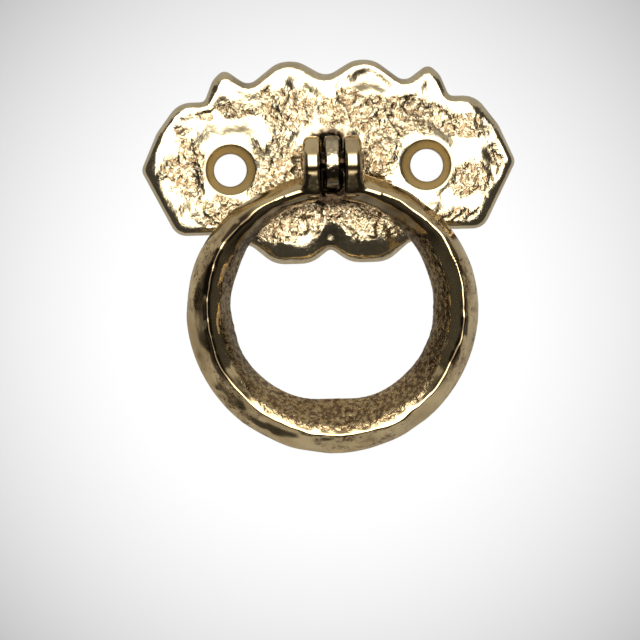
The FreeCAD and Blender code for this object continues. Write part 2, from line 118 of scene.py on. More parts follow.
# Crumpled patches of the casting: x, z, half width and half height in millimetres, and strength.
PATCHES = (
    (-6.0, 9.0, 5.9, 4.2, 0.8),
    (1.5, 8.5, 4.5, 2.9, 0.8),
    (3.4, 10.6, 2.3, 1.8, 1.0),
    (9.5, 7.5, 8.5, 3.4, 1.0),
    (15.0, 8.2, 2.9, 1.6, 1.0),
    (-14.3, 9.2, 4.2, 1.6, 0.8),
    (-7.5, 1.0, 5.2, 5.2, 0.8),
    (-9.0, -3.0, 5.2, 2.6, 0.8),
    (7.5, 2.0, 3.6, 5.9, 0.75),
    (-21.5, 0.0, 4.2, 5.2, 0.8),
    (-18.7, 8.2, 2.1, 1.0, 0.7),
    (-22.2, 6.3, 1.6, 1.0, 0.65),
    (-16.0, -6.8, 5.2, 3.4, 0.9),
    (21.3, 5.6, 4.7, 2.1, 1.0),
    (21.5, -2.2, 4.2, 3.1, 0.8),
    (26.0, 1.5, 1.7, 3.9, 0.8),
    (19.5, -8.0, 3.9, 2.1, 0.8),
)

# Blends: 0 at the first value and 1 at the second.
# Parts of a normal:
FACING_BACK = (0.4, 0.8)
FACING_FRONT = (0.5, 0.85)
FACING_SIDE = (0.5, 0.8)
LOWER_WALL = (-0.1, 0.8)
CHIN_FACING = (-0.1, -0.4)
BEVEL_FRONT = (0.05, 0.35)
OUTER_FACING = (0.3, 0.6)
EAR_UNDERSIDE = (-0.05, -0.3)
# Places on the plate and its lug, and distances from rim, holes and hinge axis, in millimetres:
LOBE_X = (12.5, 10.5)
LOBE_ROLL_Z = (-4.5, -7.5)
LOBE_ROUGH_Z = (-4.0, -5.5)
CREASE_Z = (-6.5, -11.0)
CHIN_Z = (-3.1, -2.7)
LUG_SHIFT_X = (3.2, 1.9)
LUG_SHIFT_Y = (-3.3, -4.3)
PATCH_RIM = (0.5, 2.0)
LOBE_RIM = (0.5, 1.5)
BROAD_RIM = (0.0, 3.0)
TURNED_GAP = (-0.05, 0.1)
RELIEF_GAP = (0.1, 0.9)
OUTSIDE_BORE = (2.0, 3.0)
# Strength of a patch:
PATCH_EDGE = (0.25, 0.55)
# Places on the ring and its ears, and distances inwards from the ridge, in millimetres:
HOOP_Z = (-3.8, -6.5)
GAP_X = (2.3, 1.9)
NECK_X = (5.0, 4.2)
NECK_Z = (-0.9, -1.9)
LEFT_X = (0.0, -4.0)
SHOULDER_Z = (-3.4, -1.5)
CREST_Y = (-9.0, -11.2)
SHIFT_Y = (-8.0, -11.2)
INNER_EDGE = (0.45, 1.0)
ARM_SHADE = (0.5, 1.1)
RIDGE_SHADE = (0.8, 0.45)
LAND_START = (0.0, 1.5)
LAND_END = (3.0, 1.5)
INNER_RIM = (1.8, 2.8)
OUTER_RIM = (-1.6, -2.4)
# Degrees round the ring from its bottom:
RING_ASIDE = (35, 65)
RING_TOP = (112, 128)
RING_BULGE = (75, 105)
DARK_SIDE_START = (48, 62)
DARK_SIDE_END = (96, 86)

# Noise: size in millimetres and seed.
REACH_NOISE = (7.0, 9.1)
SHADE_NOISE = (0.5, 4.4)
STREAK_NOISE = (2.0, 12.0)
FADE_NOISE = (4.0, 2.2)
SWELL_NOISE = (6.5, 1.0)
LUMP_NOISE = (2.6, 5.2)
FOLD_NOISE = (1.9, 2.0)
FINE_FOLD_NOISE = (0.9, 6.6)
PLATE_PITS = (0.8, 2.0)
RIDGE_NOISE = (4.0, 6.1)
TONE_NOISE = (3.0, 4.0)
ARM_SHADE_NOISE = (2.0, 21.0)
RIDGE_SHADE_NOISE = (1.6, 19.0)
RING_SWELL_NOISE = (3.6, 2.2)
GRAIN_NOISE = (0.9, 7.7)
GRAIN_PITS = (0.8, 1.4)
CREST_NOISE = (4.5, 11.0)
FINE_CREST_NOISE = (1.8, 13.0)
INNER_RIM_NOISE = (5.0, 15.0)
OUTER_RIM_NOISE = (5.0, 17.0)
# Noise that breaks up the patches: strength, size and seed.
PATCH_NOISE = ((0.25, 2.4, 8.4), (0.1, 6.0, 3.1))
# Dents of the ring: size, seed and fullness.
DENTS = (4.6, 3.3, 0.4)

# Noise textures: scale, detail and roughness.
CLOUD = (180.0, 4.0, 0.6)
SPECK = (1500.0, 3.0, 0.6)
FINE = (4200.0, 2.0, 0.5)
BLOT = (420.0, 6.0, 0.8)
BLOT_SPECK = (2000.0, 3.0, 0.6)
BLOT_FIELD = (110.0, 2.0, 0.5)
STROKE = (1.0, 3.0, 0.5)


def length(name, description, default):
    return FloatProperty(
        name=name, description=description, default=default, unit="LENGTH", precision=6
    )


def level(name, description, default):
    return FloatProperty(name=name, description=description, default=default)


def count(name, description, default):
    return IntProperty(name=name, description=description, default=default)


def colour(name, description, default):
    return FloatVectorProperty(
        name=name, description=description, default=default,
        size=4, min=0.0, max=1.0, subtype="COLOR",
    )


class BrassSettings(bpy.types.PropertyGroup):
    """Colours that the pieces share."""

    # painted shade: the dark colour that gaps, corners, undersides and hollows are mixed towards
    painted_shade: colour("Shading", "Dirt in the gaps and corners of the hinge", (0.035, 0.022, 0.012, 1.0))
    filed: colour("Filed", "Dark strokes on the filed backs", (0.24, 0.17, 0.08, 1.0))


class PlateSettings(bpy.types.PropertyGroup):
    """Surface of the cast backplate."""

    bright: colour("Bright", "Polished brass", (0.82, 0.68, 0.43, 1.0))
    dull: colour("Dull", "Tarnished brass", (0.60, 0.48, 0.28, 1.0))
    deep: colour("Deep", "Brown in the casting's creases", (0.22, 0.13, 0.06, 1.0))
    turned: colour("Turned", "Bare brass of the countersinks", (0.42, 0.33, 0.18, 1.0))
    voxel: length("Voxel", "Cell of the casting's skin", 0.2 * MM)
    rounding: count("Rounding", "Smoothing passes over the cast edges", 12)
    swell: length("Swell", "Height of the broad hand-dressed waves", 0.75 * MM)
    lump: length("Lump", "Height of the smaller waves", 0.2 * MM)
    boss: length("Boss", "Height of the swelling behind the ears", 0.45 * MM)
    lug_rounding: count("Lug rounding", "Smoothing passes over the lug", 4)
    pit: length("Pit", "Height of the crumpled and pitted relief", 0.16 * MM)
    roll: length("Roll", "Depth of the rolled upper edges", 0.95 * MM)
    reach: length("Reach", "Width of the rolled upper edges", 1.4 * MM)
    lower_roll: length("Lower roll", "Depth of the rolled lower edges", 1.0 * MM)
    lower_reach: length("Lower reach", "Width of the rolled lower edges", 2.5 * MM)
    lobe_fall: length("Lobe fall", "Fall of the lower lobes towards their edges", 1.3 * MM)
    lobe_reach: length("Lobe reach", "Width of that fall", 7.0 * MM)
    crease: length("Crease", "Depth of the crease between the lower lobes", 0.4 * MM)


class RingSettings(bpy.types.PropertyGroup):
    """Surface of the cast ring and its ears."""

    bright: colour("Bright", "Polished brass", (0.80, 0.61, 0.32, 1.0))
    dull: colour("Dull", "Tarnished brass", (0.42, 0.29, 0.14, 1.0))
    deep: colour("Deep", "Brown in the casting's grain", (0.11, 0.055, 0.028, 1.0))
    blot: colour("Blot", "Brown blots on the outer bevel", (0.16, 0.085, 0.04, 1.0))
    voxel: length("Voxel", "Cell of the casting's skin", 0.19 * MM)
    rounding: count("Rounding", "Smoothing passes over the cast edges", 2)
    ear_rounding: count("Ear rounding", "Further passes over the ears", 12)
    neck_rounding: count("Neck rounding", "Further passes where the ears meet the arms", 30)
    swell: length("Swell", "Height of the broad hand-dressed waves", 0.14 * MM)
    dent: length("Dent", "Depth of the dents in the outer bevel", 0.11 * MM)
    grain: length("Grain", "Height of the cast grain on the inner bevel", 0.09 * MM)
    bulge: length("Bulge", "How far the outer bevel swells out", 0.3 * MM)
    land_tilt: length("Land tilt", "Further fall of the land at the sides", 0.35 * MM)
    ridge_shift: length("Ridge shift", "How far right of the middle the ridge stands", 0.45 * MM)


class PinSettings(bpy.types.PropertyGroup):
    """Peened hinge pin."""

    bright: colour("Bright", "Rubbed brass", (0.45, 0.33, 0.17, 1.0))
    dull: colour("Dull", "Tarnished brass", (0.32, 0.22, 0.11, 1.0))
    deep: colour("Deep", "Brown specks", (0.12, 0.07, 0.035, 1.0))
    crown: length("Crown", "Height of the peened ends", 0.35 * MM)
    sides: count("Sides", "Facets round the pin", 48)
    steps: count("Steps", "Rows over each peened end", 8)


class StudioSettings(bpy.types.PropertyGroup):
    """Camera, lights and surroundings."""

    distance: length("Distance", "Camera to the plate's back", 0.5)
    lens: FloatProperty(
        name="Lens", description="Focal length", default=183.7, subtype="DISTANCE_CAMERA"
    )
    aim: FloatVectorProperty(
        name="Aim", description="Point the camera looks at",
        default=(-0.0019, 0.0, -0.0232), unit="LENGTH", precision=6,
    )
    roll: FloatProperty(
        name="Roll", description="Turn of the camera about its axis",
        default=math.radians(1.5), subtype="ANGLE",
    )
    panel: level("Panel", "Brightness of the panel in front", 3.3)
    halo: level("Halo", "Brightness of the panel's soft edge", 1.7)
    surround: level("Surround", "Brightness of the grey surround", 0.47)
    shade: level("Shade", "Brightness of the dark cards", 0.055)
    ambient: level("Ambient", "Strength of the world in indirect light", 0.7)


def soft_step(low, high, value):
    """0 below low, 1 above high, smooth between; low may be the greater one."""
    share = min(max((value - low) / (high - low), 0.0), 1.0)
    return share * share * (3 - 2 * share)


def degree_step(low, high, angle):
    """soft_step of an angle in radians between two in degrees."""
    return soft_step(math.radians(low), math.radians(high), angle)


def wave(point, size, seed):
    """Noise from about -1 to 1 with features of the given size."""
    return noise.noise(point / size + Vector((seed, seed * 1.7, seed * 2.3)))


def pitting(point, size, seed, fullness=0.45):
    """1 in the middle of scattered pits of the given spacing, 0 between them."""
    floor = 0.08
    place = point / size + Vector((seed, seed * 1.3, seed * 0.7))
    gap = noise.voronoi(place)[0][0]
    return 1 - soft_step(floor, fullness, gap)


def cast_skin(node, name, voxel):
    """New object with an even skin of small faces over a merged copy of a CAD node."""
    source = bpy.data.meshes.new(name)
    work = bmesh.new()
    work.from_mesh(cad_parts[node].data)
    bmesh.ops.remove_doubles(work, verts=work.verts, dist=MERGE)
    work.to_mesh(source)
    work.free()
    piece = bpy.data.objects.new(name, source)
    bpy.context.scene.collection.objects.link(piece)
    remesh = piece.modifiers.new("Skin", "REMESH")
    remesh.mode = "VOXEL"
    remesh.voxel_size = voxel
    shown = piece.evaluated_get(bpy.context.evaluated_depsgraph_get())
    skin = bpy.data.meshes.new_from_object(shown)
    piece.modifiers.clear()
    piece.data = skin
    bpy.data.meshes.remove(source)
    skin.name = name
    return piece


def soften(work, verts, passes, deep=True):
    """Smoothing passes; without deep the vertices keep their place along Y."""
    for _ in range(passes):
        bmesh.ops.smooth_vert(
            work, verts=verts, factor=0.5, use_axis_x=True, use_axis_y=deep, use_axis_z=True
        )


def true_knuckle(work):
    """Puts the skin of the lug's nose and of the ears back on their common round."""
    near, steepest = 0.1, 0.6
    for vert in work.verts:
        side = Vector((0.0, vert.co.y - AXIS_Y * MM, vert.co.z - AXIS_Z * MM))
        if abs(side.length - KNUCKLE * MM) < near * MM and abs(vert.normal.x) < steepest:
            vert.co += side.normalized() * (KNUCKLE * MM - side.length)


def keep_inside(work, node):
    """No vertex leaves the CAD node's box."""
    low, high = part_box(node)
    for vert in work.verts:
        vert.co = [min(max(value, low[axis]), high[axis]) for axis, value in enumerate(vert.co)]


def store(work, name, values):
    """Keeps one number per vertex as an attribute for the materials."""
    layer = work.verts.layers.float.new(name)
    for vert, value in zip(work.verts, values):
        vert[layer] = value


def finish_shape(work, moves, layers):
    """Moves every vertex, then stores the named attributes."""
    for vert, move in zip(work.verts, moves):
        vert.co += move
    for name, values in layers.items():
        store(work, name, values)


def hole_gap(point):
    """Distance from the edge of the nearer countersink, negative inside it."""
    return math.hypot(abs(point.x) - HOLE_X, point.z) - COUNTERSINK_EDGE


def on_lug(point):
    return abs(point.x) < LUG_HALF + LUG_MARGIN and point.y < LUG_FOOT_Y


def lobe_share(point, heights):
    """1 on the plate's two lower lobes, 0 off them."""
    return soft_step(*LOBE_X, abs(point.x)) * soft_step(*heights, point.z)


def rim_tree(work):
    """Search tree over the plate's side walls, and the walls' normals."""
    steepest, hole_margin = 0.4, 0.3
    walls = []
    for vert in work.verts:
        point = vert.co / MM
        beside_holes = hole_gap(point) > hole_margin
        if abs(vert.normal.y) < steepest and beside_holes and not on_lug(point):
            walls.append(vert)
    tree = kdtree.KDTree(len(walls))
    for number, vert in enumerate(walls):
        tree.insert((vert.co.x, 0.0, vert.co.z), number)
    tree.balance()
    return tree, [vert.normal.copy() for vert in walls]


def roll_edges(work, settings):
    """Rolls the plate's front over to its edges, wider along the lower ones."""
    reach_change = 0.6
    tree, wall_normals = rim_tree(work)
    for vert in work.verts:
        point = vert.co / MM
        if on_lug(point) or hole_gap(point) < 0.0:
            continue
        _, number, rim = tree.find((vert.co.x, 0.0, vert.co.z))
        lobe = lobe_share(point, LOBE_ROLL_Z)
        down = soft_step(*LOWER_WALL, -wall_normals[number].z)
        down *= 1 - lobe
        upper = settings.reach * (1 + reach_change * wave(point, *REACH_NOISE))
        width = upper * (1 - down) + settings.lower_reach * down
        depth = settings.roll * (1 - down) + settings.lower_roll * down
        share = max(1 - rim / width, 0.0)
        fall = depth * (1 - math.sqrt(1 - share * share))
        fall += lobe * settings.lobe_fall * max(1 - rim / settings.lobe_reach, 0.0) ** 2
        dome = (point.x ** 2 + point.z ** 2) / (2 * DOME_RADIUS) - PLATE_CROWN
        vert.co.y *= 1 + fall / (dome * MM)


def patch_share(point):
    """How far into a crumpled patch a point lies, 0 to about 1."""
    return max(
        strength * math.exp(-((point.x - x) / wide) ** 2 - ((point.z - z) / high) ** 2)
        for x, z, wide, high, strength in PATCHES
    )


def hollow_and_shade_at(point):
    """Depth of the sunk places and darkness of the painted shade at a point."""
    even, uneven = 0.9, 0.4
    sunk, dark = 0.0, 0.0
    for x, z, width, depth, darkness in HOLLOWS_AND_SHADE:
        spot = math.exp(-((point.x - x) ** 2 + (point.z - z) ** 2) / width ** 2)
        sunk += depth * spot
        dark = max(dark, darkness * spot)
    return sunk, min(dark * (even + uneven * wave(point, *SHADE_NOISE)), 1.0)


def plate_roughness(point, rim):
    """How crumpled the front is: in patches, and on the lobes down to a streaked foot."""
    least, least_on_lobes = 0.14, 0.08
    foot_z, foot_rise, foot_half, foot_change, foot_soft = -11.0, 2.6, 2.0, 1.2, 0.5
    narrow, tall = 2.2, 0.7
    patch = patch_share(point)
    for strength, size, seed in PATCH_NOISE:
        patch += strength * wave(point, size, seed)
    rough = soft_step(*PATCH_EDGE, patch) * soft_step(*PATCH_RIM, rim)
    lobe = lobe_share(point, LOBE_ROUGH_Z)
    streak = wave(Vector((narrow * point.x, 0.0, tall * point.z)), *STREAK_NOISE)
    rise = foot_rise * math.exp(-((point.x / foot_half) ** 2))
    foot = foot_z + rise + foot_change * streak
    streaked = soft_step(foot - foot_soft, foot + foot_soft, point.z) * soft_step(*LOBE_RIM, rim)
    rough += lobe * (streaked - rough)
    return max(rough, least + least_on_lobes * lobe)


def plate_height(point, sunk, settings):
    """Height of the front's broad forms: waves, crease, sunk places and boss."""
    sink, crease_half = 0.25, 1.2
    boss_half, boss_z, boss_high = 4.2, 3.8, 2.2
    height = settings.swell / MM * (wave(point, *SWELL_NOISE) - sink)
    height += settings.lump / MM * wave(point, *LUMP_NOISE)
    crease = math.exp(-((point.x / crease_half) ** 2)) * soft_step(*CREASE_Z, point.z)
    height -= crease * settings.crease / MM + sunk
    boss = math.exp(-((point.x / boss_half) ** 4) - ((point.z - boss_z) / boss_high) ** 2)
    return height + boss * settings.boss / MM


def crumpling(point):
    """Folds and pits of a crumpled patch, for a relief of height 1."""
    folded, finely_folded, pitted, sink = 2.0, 1.1, 0.6, 0.6
    folds = folded * abs(wave(point, *FOLD_NOISE))
    folds += finely_folded * abs(wave(point, *FINE_FOLD_NOISE))
    return folds - pitted * pitting(point, *PLATE_PITS) - sink


def lug_painted_shade(point, normal):
    """Painted shade on the lug's sides and under its chin."""
    chin_darkness = 0.85
    chin = soft_step(*CHIN_FACING, normal.z) * soft_step(*CHIN_Z, point.z)
    return max(soft_step(*FACING_SIDE, abs(normal.x)), chin_darkness * chin)


def round_plate(work, settings):
    """Rolls and softens the cast edges; the back keeps its depth."""
    back_skin = 0.05
    true_knuckle(work)
    roll_edges(work, settings)
    loose, lug, back = [], [], []
    for vert in work.verts:
        point = vert.co / MM
        if on_lug(point):
            lug.append(vert)
        elif hole_gap(point) > 0.0:
            (loose if point.y < -back_skin else back).append(vert)
    soften(work, back, settings.rounding, deep=False)
    soften(work, loose, settings.rounding)
    soften(work, lug, settings.lug_rounding)
    work.normal_update()


def shape_plate(work, settings):
    """Rounds the plate's edges, then raises its worn, pitted surface."""
    hole_edge, hole_fade, fade_change = 0.05, 2.4, 1.6
    lug_rough, lug_broad, cast_tone = 0.4, 0.35, 0.85
    round_plate(work, settings)
    tree, _ = rim_tree(work)
    pit = settings.pit / MM
    moves = []
    layers = {"cast": [], "machined": [], "painted_shade": [], "filed": []}
    for vert in work.verts:
        point, normal = vert.co / MM, vert.normal
        gap, lug = hole_gap(point), on_lug(point)
        rim = tree.find((vert.co.x, 0.0, vert.co.z))[2] / MM
        behind = soft_step(*FACING_BACK, normal.y)
        turned = (1 - soft_step(*TURNED_GAP, gap)) * (1 - behind)
        # darkness of the painted shade in the hollows and about the hinge
        sunk, painted_shading = hollow_and_shade_at(point)
        painted_shading *= 1 - behind
        rough = plate_roughness(point, rim)
        ahead = soft_step(*FACING_FRONT, -normal.y)
        fade = hole_fade + fade_change * wave(point, *FADE_NOISE)
        broad = ahead * soft_step(hole_edge, fade, gap) * soft_step(*BROAD_RIM, rim)
        fine = ahead * soft_step(*RELIEF_GAP, gap)
        if lug:
            radius = math.hypot(point.y - AXIS_Y, point.z - AXIS_Z)
            outside = soft_step(*OUTSIDE_BORE, radius)
            broad, fine = lug_broad * broad * outside, fine * outside
            rough = lug_rough
            # painted shade on the lug's sides and under its chin
            painted_shading = max(painted_shading, lug_painted_shade(point, normal))
        height = plate_height(point, sunk, settings) * broad
        height += rough * pit * crumpling(point) * fine
        aside = HINGE_SHIFT * soft_step(*LUG_SHIFT_Y, point.y)
        aside *= soft_step(*LUG_SHIFT_X, abs(point.x))
        moves.append((normal * height + Vector((aside, 0.0, 0.0))) * MM)
        layers["cast"].append(cast_tone * rough * (1 - turned) * (1 - behind))
        layers["machined"].append(turned)
        # painted shade kept for the material
        layers["painted_shade"].append(painted_shading)
        layers["filed"].append(behind)
    finish_shape(work, moves, layers)


# Where a point of the ring lies: the direction from the ring's middle, the angle from its
# bottom, the distance inwards from the ridge, and its share in front, hoop (not ears), sides,
# inner bevel and outer bevel.
Zone = namedtuple("Zone", "spoke fall inward front hoop aside inner outer")


def ridge_radius(fall):
    """Radius of the ring's ridge at an angle from the bottom of the ring."""
    return RIDGE_RADIUS + RIDGE_RISE * soft_step(math.pi, math.pi / 2, fall)


def ring_zone(point, normal):
    ridge_change, wider_land = 0.25, 1.3
    arm = Vector((point.x, 0.0, point.z - RING_Z))
    spoke = arm.normalized()
    fall = abs(math.atan2(spoke.x, -spoke.z))
    inward = ridge_radius(fall) - arm.length + ridge_change * wave(point, *RIDGE_NOISE)
    front = soft_step(*BEVEL_FRONT, -normal.y)
    hoop = soft_step(*HOOP_Z, point.z)
    aside = degree_step(*RING_ASIDE, fall)
    start, end = (edge + wider_land * aside for edge in INNER_EDGE)
    inner = front * hoop * soft_step(start, end, inward)
    outer = soft_step(*OUTER_FACING, normal.dot(spoke)) * front * hoop
    return Zone(spoke, fall, inward, front, hoop, aside, inner, outer)


def ring_painted_shade(point, normal, zone):
    """Painted shade beside the lug, under the ears, on arms and necks, inside, and over the
    ridge's sides, where it dims the ridge's reflection.
    """
    under_darkness, neck_darkness, ridge_darkness, inner_darkness = 0.82, 0.78, 0.93, 0.5
    arm_darkness, arm_change = 0.7, 0.25
    further_left, more_left, broken_off = 50, 0.2, 0.3
    off_hoop = 1 - zone.hoop
    gap = soft_step(*FACING_SIDE, abs(normal.x)) * soft_step(*GAP_X, abs(point.x)) * off_hoop
    under = under_darkness * soft_step(*EAR_UNDERSIDE, normal.z) * off_hoop
    arm = arm_darkness + arm_change * wave(point, *ARM_SHADE_NOISE)
    arm = arm * degree_step(*RING_TOP, zone.fall) * zone.front * soft_step(*ARM_SHADE, zone.inward)
    neck = neck_darkness * soft_step(*NECK_Z, point.z) * soft_step(*NECK_X, abs(point.x))
    neck *= off_hoop
    left = soft_step(*LEFT_X, point.x)
    start, end = (angle + further_left * left for angle in DARK_SIDE_END)
    side = degree_step(*DARK_SIDE_START, zone.fall) * degree_step(start, end, zone.fall)
    # painted shade that dims the ridge's reflection at the sides
    ridge = side * zone.front * soft_step(*RIDGE_SHADE, abs(zone.inward))
    ridge *= soft_step(broken_off, 0.0, wave(point, *RIDGE_SHADE_NOISE) - more_left * left)
    inside = inner_darkness * zone.aside * zone.inner
    return max(gap, under, arm, neck, ridge_darkness * ridge, inside)


def ring_height(point, zone, settings):
    """Height of waves, dents and cast grain over the ring's bevels."""
    ear_swell, hoop_swell, pitted = 0.2, 0.8, 0.8
    height = settings.swell / MM * wave(point, *RING_SWELL_NOISE) * zone.front
    height *= ear_swell + hoop_swell * zone.hoop
    height -= zone.outer * (settings.dent / MM) * pitting(point, *DENTS)
    grain = wave(point, *GRAIN_NOISE) - pitted * pitting(point, *GRAIN_PITS)
    return height + zone.inner * (settings.grain / MM) * grain


def ring_depth(point, zone, settings):
    """How far the land falls back at the sides, less the swelling of the outer bevel."""
    right_bulge, left_bulge, hollow, bevel_width = 1.7, 1.3, 0.8, 2.6
    depth = zone.aside * (settings.land_tilt / MM) * soft_step(*LAND_START, zone.inward)
    depth *= soft_step(*LAND_END, zone.inward)
    bulge = right_bulge if point.x > 0 else left_bulge
    bulge = bulge * degree_step(*RING_BULGE, zone.fall) - hollow
    across = min(max(-zone.inward / bevel_width, 0.0), 1.0)
    return depth - bulge * (settings.bulge / MM) * math.sin(math.pi * across)


def ring_wobble(point, zone):
    """How far the ridge and both rims wander from their even rounds."""
    crest_change, fine_change = 0.35, 0.15
    inner_change, more_aside, outer_change = 0.12, 0.18, 0.25
    crest = crest_change * wave(point, *CREST_NOISE)
    crest += fine_change * wave(point, *FINE_CREST_NOISE)
    inner = soft_step(*INNER_RIM, zone.inward) * (inner_change + more_aside * zone.aside)
    outer = soft_step(*OUTER_RIM, zone.inward) * outer_change
    return (
        soft_step(*CREST_Y, point.y) * crest
        + inner * wave(point, *INNER_RIM_NOISE)
        - outer * max(wave(point, *OUTER_RIM_NOISE), 0.0)
    )


def ear_shoulder(point, zone):
    """Move that rounds the ears' outer and inner edges towards the hinge axis."""
    outer_round, outer_start, inner_round, inner_start, deepest = 0.8, 0.3, 0.5, 0.6, 0.4
    along = (abs(point.x) - EAR_MIDDLE) / EAR_HALF
    depth = outer_round * max(along - outer_start, 0.0) ** 2
    depth += inner_round * max(-along - inner_start, 0.0) ** 2
    depth = min(depth, deepest) * soft_step(*SHOULDER_Z, point.z) * (1 - zone.hoop)
    return Vector((0.0, point.y - AXIS_Y, point.z - AXIS_Z)).normalized() * -depth


def round_ring(work, settings):
    """Softens the ring's edges, more so at the ears and most at their necks."""
    ears_z, ears_half, necks_z, necks_x = -7.0, 7.5, -1.5, 3.2
    true_knuckle(work)
    soften(work, work.verts[:], settings.rounding)
    ears = [
        vert for vert in work.verts
        if vert.co.z > ears_z * MM and abs(vert.co.x) < ears_half * MM
    ]
    soften(work, ears, settings.ear_rounding)
    necks = [vert for vert in ears if vert.co.z < necks_z * MM and abs(vert.co.x) > necks_x * MM]
    soften(work, necks, settings.neck_rounding)
    work.normal_update()


def shape_ring(work, settings):
    """Rounds the ring's edges, moves its ridge off the middle, dents and roughens its bevels."""
    grain_tone, tone_change = 0.75, 0.25
    round_ring(work, settings)
    shift = settings.ridge_shift / MM
    moves = []
    layers = {"cast": [], "bevel": [], "painted_shade": [], "filed": []}
    for vert in work.verts:
        point, normal = vert.co / MM, vert.normal
        zone = ring_zone(point, normal)
        sideways = shift * soft_step(*SHIFT_Y, point.y) * zone.hoop
        sideways += HINGE_SHIFT * (1 - zone.hoop)
        back = ring_depth(point, zone, settings) * zone.front * zone.hoop
        move = normal * ring_height(point, zone, settings)
        move += zone.spoke * (ring_wobble(point, zone) * zone.hoop)
        move += Vector((sideways, back, 0.0))
        move += ear_shoulder(point, zone)
        moves.append(move * MM)
        tone = grain_tone + tone_change * wave(point, *TONE_NOISE)
        layers["cast"].append(zone.inner * tone)
        layers["bevel"].append(zone.outer)
        # painted shade kept for the material
        layers["painted_shade"].append(ring_painted_shade(point, normal, zone))
        layers["filed"].append(soft_step(*FACING_BACK, normal.y))
    finish_shape(work, moves, layers)


def cast_piece(node, name, settings, shape):
    """Object with a cast skin over a CAD node, worked by the given function."""
    piece = cast_skin(node, name, settings.voxel)
    work = bmesh.new()
    work.from_mesh(piece.data)
    shape(work, settings)
    keep_inside(work, node)
    work.to_mesh(piece.data)
    work.free()
    return piece


def dress(piece, material, node, body):
    """Smooth shading, material, and the piece's place in the frame."""
    piece.data.materials.clear()
    piece.data.materials.append(material)
    for face in piece.data.polygons:
        face.use_smooth = True
    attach(piece, body)
    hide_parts(node)


def add_node(tree, kind, values=None, **settings):
    """New shader node; a value that is a socket is linked in, any other is set."""
    made = tree.nodes.new(kind)
    for key, value in settings.items():
        setattr(made, key, value)
    for key, value in (values or {}).items():
        if isinstance(value, bpy.types.NodeSocket):
            tree.links.new(value, made.inputs[key])
        else:
            made.inputs[key].default_value = value
    return made


def calculate(tree, operation, *values, clamp=False):
    numbered = dict(enumerate(values))
    made = add_node(tree, "ShaderNodeMath", numbered, operation=operation, use_clamp=clamp)
    return made.outputs[0]


def multiply(tree, first, *others):
    for other in others:
        first = calculate(tree, "MULTIPLY", first, other)
    return first


def ramp(tree, value, low, high, start=0.0, end=1.0):
    """Smooth step of a value from low to high."""
    values = {"Value": value, "From Min": low, "From Max": high, "To Min": start, "To Max": end}
    made = add_node(tree, "ShaderNodeMapRange", values, interpolation_type="SMOOTHSTEP")
    return made.outputs[0]


def mix_value(tree, share, first, second):
    return add_node(tree, "ShaderNodeMix", {"Factor": share, 2: first, 3: second}).outputs[0]


def mix_colour(tree, share, first, second):
    values = {"Factor": share, 6: first, 7: second}
    return add_node(tree, "ShaderNodeMix", values, data_type="RGBA").outputs[2]


def noise_value(tree, place, scale, detail, roughness):
    values = {"Vector": place, "Scale": scale, "Detail": detail, "Roughness": roughness}
    return add_node(tree, "ShaderNodeTexNoise", values).outputs["Fac"]


def attribute(tree, name):
    return add_node(tree, "ShaderNodeAttribute", attribute_name=name).outputs["Fac"]


def own_place(tree):
    return tree.nodes.new("ShaderNodeTexCoord").outputs["Object"]


def new_group(name, inputs, outputs):
    """Empty node group with the given sockets, what it is given, and its result node."""
    group = bpy.data.node_groups.new(name, "ShaderNodeTree")
    for way, sockets in (("INPUT", inputs), ("OUTPUT", outputs)):
        for socket, kind in sockets.items():
            group.interface.new_socket(socket, in_out=way, socket_type="NodeSocket" + kind)
    given = group.nodes.new("NodeGroupInput").outputs
    return group, given, group.nodes.new("NodeGroupOutput")


def brass_marks():
    """Node group: the tone, roughness and fine relief that the brass pieces share."""
    dull_from, dull_to, most_dull, cast_dull = 0.35, 0.7, 0.7, 0.65
    spot_from, spot_to = 0.6, 0.42
    smooth, cloud_rough, cast_rough = 0.08, 0.12, 0.06
    fine_height, cast_bump, even_bump, bump_depth = 0.12, 0.9, 0.03, 0.3 * MM
    group, given, result = new_group(
        "Brass marks",
        {"Cast": "Float", "Bright": "Color", "Dull": "Color", "Deep": "Color"},
        {"Colour": "Color", "Roughness": "Float", "Normal": "Vector"},
    )
    place, cast = own_place(group), given["Cast"]
    cloud = noise_value(group, place, *CLOUD)
    speck = noise_value(group, place, *SPECK)
    fine = noise_value(group, place, *FINE)
    dulled = ramp(group, cloud, dull_from, dull_to, 0.0, most_dull)
    spotted = multiply(group, cast, ramp(group, speck, spot_from, spot_to))
    worn = calculate(group, "MAXIMUM", dulled, multiply(group, cast, cast_dull), clamp=True)
    tone = mix_colour(group, worn, given["Bright"], given["Dull"])
    tone = mix_colour(group, spotted, tone, given["Deep"])
    group.links.new(tone, result.inputs["Colour"])
    rough = calculate(group, "MULTIPLY_ADD", cloud, cloud_rough, smooth)
    rough = calculate(group, "MULTIPLY_ADD", cast, cast_rough, rough)
    group.links.new(rough, result.inputs["Roughness"])
    height = calculate(group, "MULTIPLY_ADD", fine, fine_height, speck)
    strength = calculate(group, "MULTIPLY_ADD", cast, cast_bump, even_bump)
    values = {"Strength": strength, "Distance": bump_depth, "Height": height}
    bump = add_node(group, "ShaderNodeBump", values)
    group.links.new(bump.outputs["Normal"], result.inputs["Normal"])
    return group


